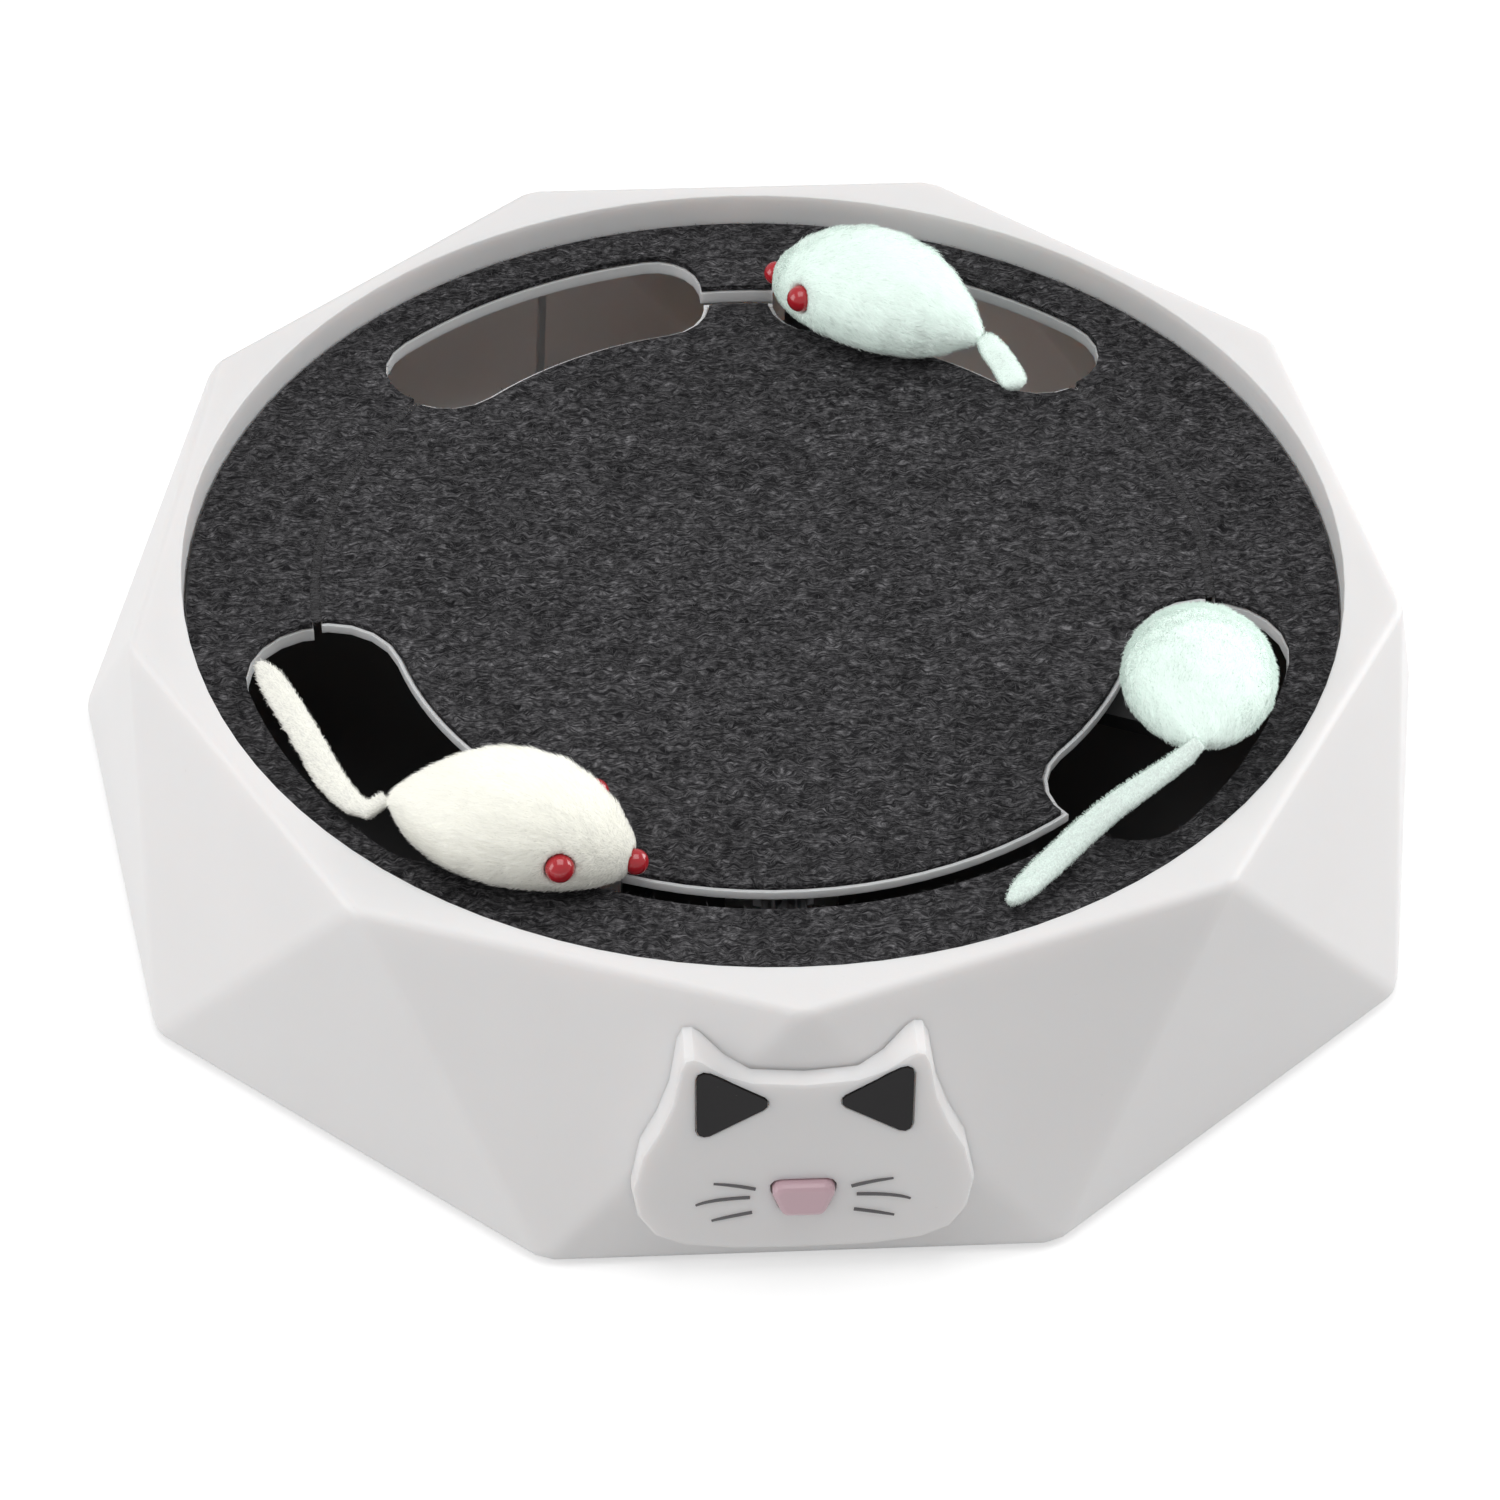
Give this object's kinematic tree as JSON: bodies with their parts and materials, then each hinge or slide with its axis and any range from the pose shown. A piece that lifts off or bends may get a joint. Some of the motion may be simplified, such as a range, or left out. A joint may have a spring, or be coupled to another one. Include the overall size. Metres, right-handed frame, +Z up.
{
  "type": "electric mouse cat toy",
  "caption": "Nine-sided electric cat toy: a felt deck with windows and a circular slot, along which a geared motor carries plush mice; a cat-face plate holds the button.",
  "frame": {"origin": "on the rotor's axis, at the surface that the rubber feet stand on", "axes": "+Z up along the rotor's axis, -Y out through the cat-face plate, +X to the right of it seen from the front"},
  "size_m": [0.2546, 0.2558, 0.0735],
  "materials": {
    "white_plastic": "satin white",
    "dark_plastic": "matt black",
    "felt": "heathered charcoal felt",
    "cream_plush": "short cream plush",
    "mint_plush": "short pale mint plush",
    "red_bead": "glossy red",
    "ear_plastic": "satin charcoal",
    "pink_plastic": "soft gloss pink",
    "nylon": "natural nylon",
    "steel": "zinc plated",
    "motor_can": "plated can",
    "cell_wrap": "plain wrapped cell",
    "board": "green lacquer",
    "rubber": "matt black"
  },
  "bodies": {
    "housing": {"outer_shell": "white_plastic", "base_plate": "dark_plastic", "deck_ring": "white_plastic", "deck_disc": "white_plastic", "felt_ring": "felt", "felt_disc": "felt", "centre_post": "nylon", "centre_screw": "steel", "thrust_washer": "steel", "retaining_clip": "steel", "idler_pin": "steel", "motor": "motor_can", "motor_bracket": "nylon", "battery_1": "cell_wrap", "battery_2": "cell_wrap", "battery_3": "cell_wrap", "contact_plate_left": "steel", "contact_plate_right": "steel", "cat_face_plate": "white_plastic", "left_ear_inset": "ear_plastic", "right_ear_inset": "ear_plastic", "push_switch": "dark_plastic", "circuit_board": "board", "rubber_foot_1": "rubber", "rubber_foot_2": "rubber", "rubber_foot_3": "rubber", "rubber_foot_4": "rubber", "housing_screw_1": "steel", "housing_screw_2": "steel", "housing_screw_3": "steel", "housing_screw_4": "steel", "housing_screw_5": "steel"},
    "rotor": {"rotor_spider": "dark_plastic", "drive_gear": "nylon", "stem_a": "steel", "stem_b": "steel", "stem_c": "steel"},
    "idler": {"idler_gear": "nylon"},
    "motor_shaft": {"motor_pinion": "steel"},
    "mouse_a": {"mouse_a_body": "cream_plush", "mouse_a_nose": "red_bead", "mouse_a_left_eye": "red_bead", "mouse_a_right_eye": "red_bead", "mouse_a_tail": "cream_plush"},
    "mouse_b": {"mouse_b_body": "mint_plush", "mouse_b_nose": "red_bead", "mouse_b_left_eye": "red_bead", "mouse_b_right_eye": "red_bead", "mouse_b_tail": "mint_plush"},
    "mouse_c": {"mouse_c_body": "mint_plush", "mouse_c_nose": "red_bead", "mouse_c_left_eye": "red_bead", "mouse_c_right_eye": "red_bead", "mouse_c_tail": "mint_plush"},
    "button": {"nose_button": "pink_plastic"},
    "door": {"battery_door": "dark_plastic"}
  },
  "joints": [
    {"name": "rotor_spin", "type": "hinge", "parent": "housing", "child": "rotor", "pos_m": [0, 0, 0], "axis": [0, 0, 1], "continuous": true},
    {"name": "idler_spin", "type": "hinge", "parent": "housing", "child": "idler", "pos_m": [0, -0.0456, 0], "axis": [0, 0, 1], "continuous": true},
    {"name": "motor_spin", "type": "hinge", "parent": "housing", "child": "motor_shaft", "pos_m": [0, -0.0648, 0], "axis": [0, 0, 1], "continuous": true},
    {"name": "mouse_a_swing", "type": "hinge", "parent": "rotor", "child": "mouse_a", "pos_m": [-0.03125, -0.07581, 0.0493], "axis": [0, 0, 1], "range_deg": [-60, 7]},
    {"name": "mouse_b_swing", "type": "hinge", "parent": "rotor", "child": "mouse_b", "pos_m": [0.07603, -0.03072, 0.0493], "axis": [0, 0, 1], "range_deg": [-75, 6]},
    {"name": "mouse_c_swing", "type": "hinge", "parent": "rotor", "child": "mouse_c", "pos_m": [0.0117, 0.08116, 0.0493], "axis": [0, 0, 1], "range_deg": [-40, 36]},
    {"name": "nose_button_press", "type": "slide", "parent": "housing", "child": "button", "axis": [0, 0.9949, -0.1008], "range_m": [0, 0.0012], "stiffness_N_per_m": 300, "springref_m": -0.001},
    {"name": "battery_door_hinge", "type": "hinge", "parent": "housing", "child": "door", "pos_m": [0, 0.0758, 0.0023], "axis": [1, 0, 0], "range_deg": [0, 95]}
  ],
  "couplings": [
    {"joint": "idler_spin", "follows": "rotor_spin", "ratio": -5.3333},
    {"joint": "motor_spin", "follows": "rotor_spin", "ratio": 16}
  ]
}
